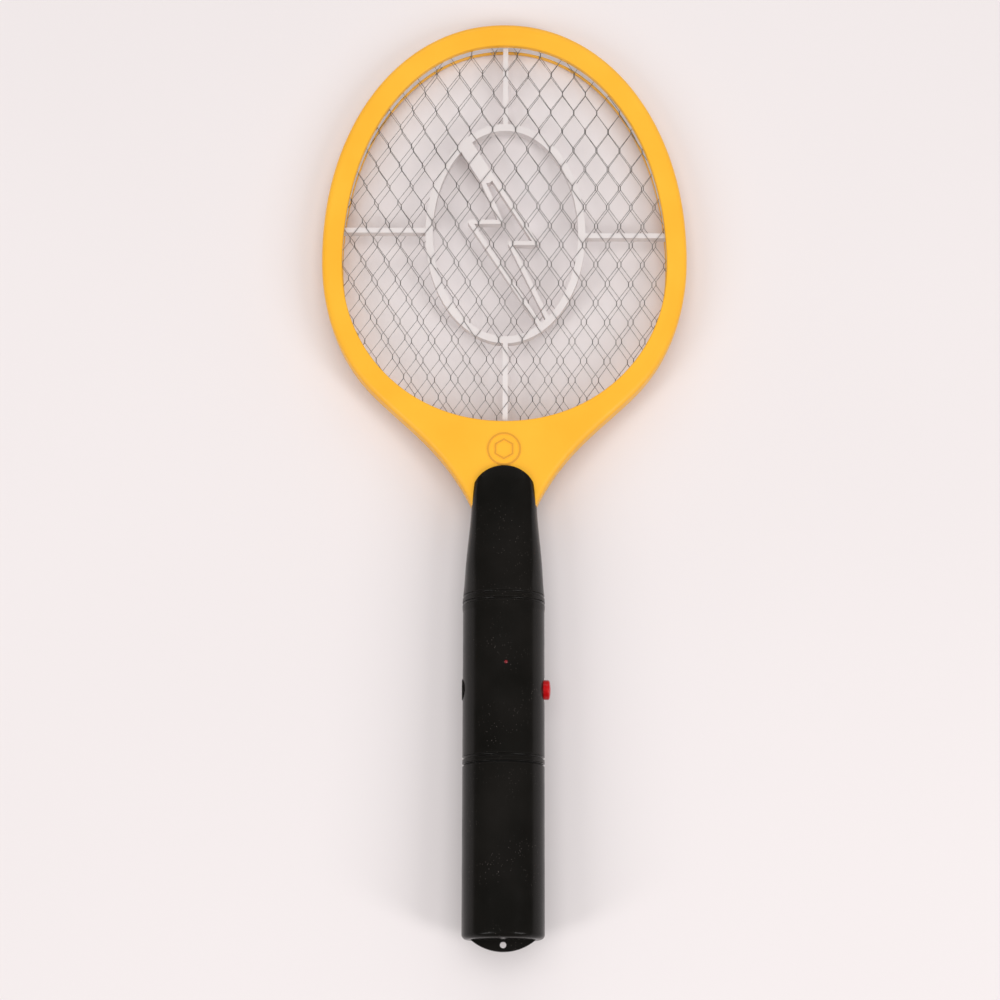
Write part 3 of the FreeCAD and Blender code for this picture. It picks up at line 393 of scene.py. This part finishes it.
def wound_tape():
    """Amber tape over the coil, ribbed by the turns under it, with painted shade in the valleys and
    painted light on the crests.
    """
    made = Surface("coil_tape", roughness=0.35)
    turns = made.node("ShaderNodeTexWave", bands_direction="Z")
    turns.inputs["Scale"].default_value = 900
    turns.inputs["Distortion"].default_value = 1.5
    made.link(made.place, turns.inputs["Vector"])
    # painted shade in the valleys between turns, painted light on their crests
    shaded_valley, lit_crest = srgb(172, 118, 34), srgb(214, 164, 62)
    made.colour(made.ramp(turns.outputs["Fac"], [(0.2, shaded_valley), (0.8, lit_crest)]))
    made.bump(turns.outputs["Fac"], 0.00005, 0.5)
    return made.material


# ---------------------------------------------------------------- expanded metal
def turned(x, y, degrees):
    """A place turned about the origin."""
    angle = math.radians(degrees)
    return x * math.cos(angle) - y * math.sin(angle), x * math.sin(angle) + y * math.cos(angle)


def spread(x, y, margin):
    """Below 1 inside the window grown by margin, above 1 outside it."""
    reach = WINDOW_TOP_REACH if y > WINDOW_CENTRE_Y else WINDOW_BOTTOM_REACH
    across = abs(x) / (WINDOW_HALF_WIDTH + margin)
    along = abs(y - WINDOW_CENTRE_Y) / (reach + margin)
    return across ** WINDOW_POWER + along ** WINDOW_POWER


def cut_to_window(start, end):
    """The stretch of a strand that lies inside the sheet's outline, or None."""
    inside = [spread(point[0], point[1], GRID_MARGIN) < 1 for point in (start, end)]
    if all(inside):
        return start, end
    if not any(inside):
        return None
    kept, lost = (start, end) if inside[0] else (end, start)
    low, high = 0.0, 1.0
    for _ in range(CUT_HALVINGS):
        middle = (low + high) / 2
        x, y, _z = (kept[i] + (lost[i] - kept[i]) * middle for i in range(3))
        if spread(x, y, GRID_MARGIN) < 1:
            low = middle
        else:
            high = middle
    return kept, tuple(kept[i] + (lost[i] - kept[i]) * low for i in range(3))


def add_bar(mesh, start, end, width, depth, lean=0.0):
    """Four-sided strand between two points, in millimetres, leaning about its own length."""
    a, b = Vector(start), Vector(end)
    along = (b - a).normalized()
    side = along.cross(Vector((0, 0, 1))).normalized()
    up = side.cross(along).normalized()
    spin = Matrix.Rotation(lean, 3, along)
    side, up = spin @ side * (width / 2), spin @ up * (depth / 2)
    rings = []
    for point in (a, b):
        corners = [side + up, -side + up, -side - up, side - up]
        rings.append([mesh.verts.new((point + corner) * MM) for corner in corners])
    for i in range(4):
        j = (i + 1) % 4
        mesh.faces.new((rings[0][i], rings[0][j], rings[1][j], rings[1][i]))
    mesh.faces.new(rings[0][::-1])
    mesh.faces.new(rings[1])


def rim_point(angle, margin):
    """A place on the window's outline grown by margin."""
    cosine, sine = math.cos(angle), math.sin(angle)
    reach = WINDOW_TOP_REACH if sine > 0 else WINDOW_BOTTOM_REACH
    power = 2 / WINDOW_POWER
    x = (WINDOW_HALF_WIDTH + margin) * math.copysign(abs(cosine) ** power, cosine)
    y = (reach + margin) * math.copysign(abs(sine) ** power, sine)
    return x, WINDOW_CENTRE_Y + y


def add_lattice(mesh, sheet):
    """Bonds along Y, with two slanted strands from the upper end of each to its neighbours."""
    level, turn = sheet["z"], sheet["turn"]
    climb = (SHEET_THICKNESS - STRAND_DEPTH) / 2
    half_bond = BOND_LENGTH / 2
    strand_start_y = half_bond - STRAND_OVERLAP
    strand_end_y = PITCH_Y / 2 - strand_start_y
    for row in ROWS:
        for column in COLUMNS:
            x = sheet["start"][0] + PITCH_X * (column + 0.5 * (row % 2))
            y = sheet["start"][1] + PITCH_Y * 0.5 * row
            if spread(*turned(x, y, turn), CULL_MARGIN) > 1:
                continue
            kept = cut_to_window((*turned(x, y - half_bond, turn), level - climb),
                                 (*turned(x, y + half_bond, turn), level + climb))
            if kept:
                add_bar(mesh, *kept, BOND_WIDTH, STRAND_DEPTH)
            for side in (-1, 1):
                start = turned(x + side * BOND_WIDTH / 4, y + strand_start_y, turn)
                end = turned(x + side * (PITCH_X / 2 - BOND_WIDTH / 4), y + strand_end_y, turn)
                kept = cut_to_window((*start, level + climb), (*end, level - climb))
                if kept:
                    add_bar(mesh, *kept, STRAND_WIDTH, STRAND_DEPTH, side * STRAND_LEAN)


def add_rim(mesh, level):
    """Solid strip round the sheet's edge, hidden under the frame."""
    middle = (GRID_MARGIN + RIM_INSIDE) / 2
    for step in range(RIM_STEPS):
        angles = [2 * math.pi * (step + extra) / RIM_STEPS for extra in (0, 1)]
        ends = [(*rim_point(angle, middle), level) for angle in angles]
        add_bar(mesh, *ends, GRID_MARGIN - RIM_INSIDE, STRAND_DEPTH)


def add_tab(mesh, x, level):
    """Strip from the rim down to the sheet's lead."""
    top = WINDOW_CENTRE_Y - WINDOW_BOTTOM_REACH - RIM_INSIDE
    add_bar(mesh, (x, TAB_END_Y, level), (x, top, level), TAB_WIDTH, STRAND_DEPTH)


def expanded_sheet(sheet, material):
    """Sheet of expanded metal cut to the window, in place of a CAD plate."""
    mesh = bmesh.new()
    add_lattice(mesh, sheet)
    add_rim(mesh, sheet["z"])
    add_tab(mesh, sheet["tab_x"], sheet["z"])
    data = bpy.data.meshes.new(sheet["node"] + "_expanded")
    mesh.to_mesh(data)
    mesh.free()
    made = bpy.data.objects.new(sheet["node"] + "_expanded", data)
    bpy.context.collection.objects.link(made)
    data.materials.append(material)
    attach(made, "racket")
    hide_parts(sheet["node"])


# ---------------------------------------------------------------- carried-over CAD pieces
def finish_node(name, material):
    """Gives a CAD piece its material and, where ROUNDED_EDGES says so, rounds its sharp edges."""
    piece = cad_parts[name]
    piece.data.materials.clear()
    piece.data.materials.append(material)
    if name in ROUNDED_EDGES:
        weld = piece.modifiers.new("weld", "WELD")
        weld.merge_threshold = WELD_DISTANCE
        rounded = piece.modifiers.new("rounded", "BEVEL")
        rounded.width = ROUNDED_EDGES[name]
        rounded.segments = ROUNDING_SEGMENTS
        rounded.limit_method = "ANGLE"
        rounded.angle_limit = ROUNDING_ANGLE


def dress_pieces():
    """Gives the listed CAD pieces their materials, and puts the expanded sheets in place of the two
    CAD grids.
    """
    yellow = yellow_plastic()
    black = black_plastic()
    white = white_plastic()
    dark = dark_plastic()
    steel = bright_metal("zinc_screw", srgb(120, 120, 124), srgb(178, 178, 182), 0.3)
    tinned = bright_metal("tinned_wire", srgb(170, 170, 172), srgb(214, 214, 214), 0.25)
    nickel = bright_metal("nickel_contact", srgb(176, 170, 158), srgb(216, 210, 196), 0.25)
    finishes = {
        "front_frame": yellow, "rear_frame": yellow, "grid_spacer": white,
        "front_handle_shell": black, "rear_handle_shell": black, "battery_sleeve": black,
        "side_plug": black, "button_cap": red_plastic(), "switch_plunger": white, "switch_body": dark,
        "battery_tray": dark, "frame_screws": steel, "handle_screws": steel,
        "indicator_led": led_epoxy(), "led_leads": tinned,
        "spring_contact": nickel, "plus_contact": nickel, "bridge_contact": nickel,
        "circuit_board": board_laminate(), "transformer_coil": wound_tape(),
        "transformer_core": dipped("ferrite", srgb(52, 52, 54), srgb(70, 70, 72), 0.55),
        "film_capacitor": dipped("film_case", srgb(132, 44, 24), srgb(160, 60, 34)),
        "disc_capacitors": dipped("disc_coating", srgb(38, 84, 150), srgb(54, 104, 172)),
        "transistor": dipped("transistor_case", srgb(28, 28, 28), srgb(44, 44, 44), 0.5),
        "rectifier_diodes": dipped("diode_case", srgb(24, 24, 25), srgb(40, 40, 42)),
        "resistors": dipped("resistor_lacquer", srgb(196, 164, 112), srgb(214, 186, 138)),
        "left_battery": cell_wrap("left_battery", True),
        "right_battery": cell_wrap("right_battery", False),
        "minus_lead": dipped("black_insulation", srgb(22, 22, 22), srgb(34, 34, 34), 0.45),
        "plus_lead": dipped("red_insulation", srgb(170, 20, 20), srgb(196, 34, 32), 0.45),
        "front_grid_lead": dipped("white_insulation", srgb(216, 214, 208), srgb(232, 230, 226), 0.45),
        "rear_grid_lead": dipped("grey_insulation", srgb(190, 188, 184), srgb(206, 204, 200), 0.45),
    }
    for name, material in finishes.items():
        finish_node(name, material)
    metal = grid_metal()
    expanded_sheet(FRONT_SHEET, metal)
    expanded_sheet(REAR_SHEET, metal)


# ---------------------------------------------------------------- stage
def floor():
    """Pale board that the front end of the grip and the tip of the head rest on."""
    rise = math.atan2(HEAD_CONTACT[1] - HANDLE_CONTACT[1], HEAD_CONTACT[0] - HANDLE_CONTACT[0])
    place = (0, HANDLE_CONTACT[0], HANDLE_CONTACT[1] - FLOOR_GAP)
    bpy.ops.mesh.primitive_plane_add(size=FLOOR_SIZE, location=place, rotation=(rise, 0, 0))
    board = bpy.context.object
    board.name = "floor"
    made = Surface("floor_paper", roughness=0.9)
    made.colour(made.wander(made.noise(0.4, 2), srgb(232, 225, 225), srgb(235, 228, 228)))
    made.bump(made.noise(0.002, 3), 0.00005, 0.2)
    board.data.materials.append(made.material)


def area_light(name, place, size, power):
    """Rectangular light aimed at the origin."""
    data = bpy.data.lights.new(name, "AREA")
    data.shape = "RECTANGLE"
    data.size, data.size_y = size
    data.energy = power
    light = bpy.data.objects.new(name, data)
    light.location = place
    light.rotation_euler = (-Vector(place)).to_track_quat("-Z", "Y").to_euler()
    bpy.context.collection.objects.link(light)
    return light


def lights():
    """Even studio light; the world and the overhead light stay out of gloss reflections."""
    world = bpy.data.worlds.new("studio")
    bpy.context.scene.world = world
    world.use_nodes = True
    background = world.node_tree.nodes["Background"]
    background.inputs["Color"].default_value = WORLD_COLOUR
    background.inputs["Strength"].default_value = WORLD_STRENGTH
    world.cycles_visibility.glossy = False
    for light in SOFT_LIGHTS:
        area_light(*light)
    area_light(*OVERHEAD).visible_glossy = False


def camera():
    """Camera above the object, leaning toward the handle's end."""
    data = bpy.data.cameras.new("photo_view")
    data.lens = CAMERA_LENS
    data.sensor_width = CAMERA_SENSOR
    data.clip_start = 0.05
    view = bpy.data.objects.new("photo_view", data)
    offset = Vector((0, -math.sin(CAMERA_TILT), math.cos(CAMERA_TILT))) * CAMERA_DISTANCE
    view.location = CAMERA_TARGET + offset
    aim = (-offset).to_track_quat("-Z", "Y").to_matrix().to_4x4()
    view.rotation_euler = (aim @ Matrix.Rotation(CAMERA_ROLL, 4, "Z")).to_euler()
    bpy.context.collection.objects.link(view)
    bpy.context.scene.camera = view


dress_pieces()
floor()
lights()
camera()
bpy.context.scene.view_settings.view_transform = "Standard"

bpy.context.view_layer.update()
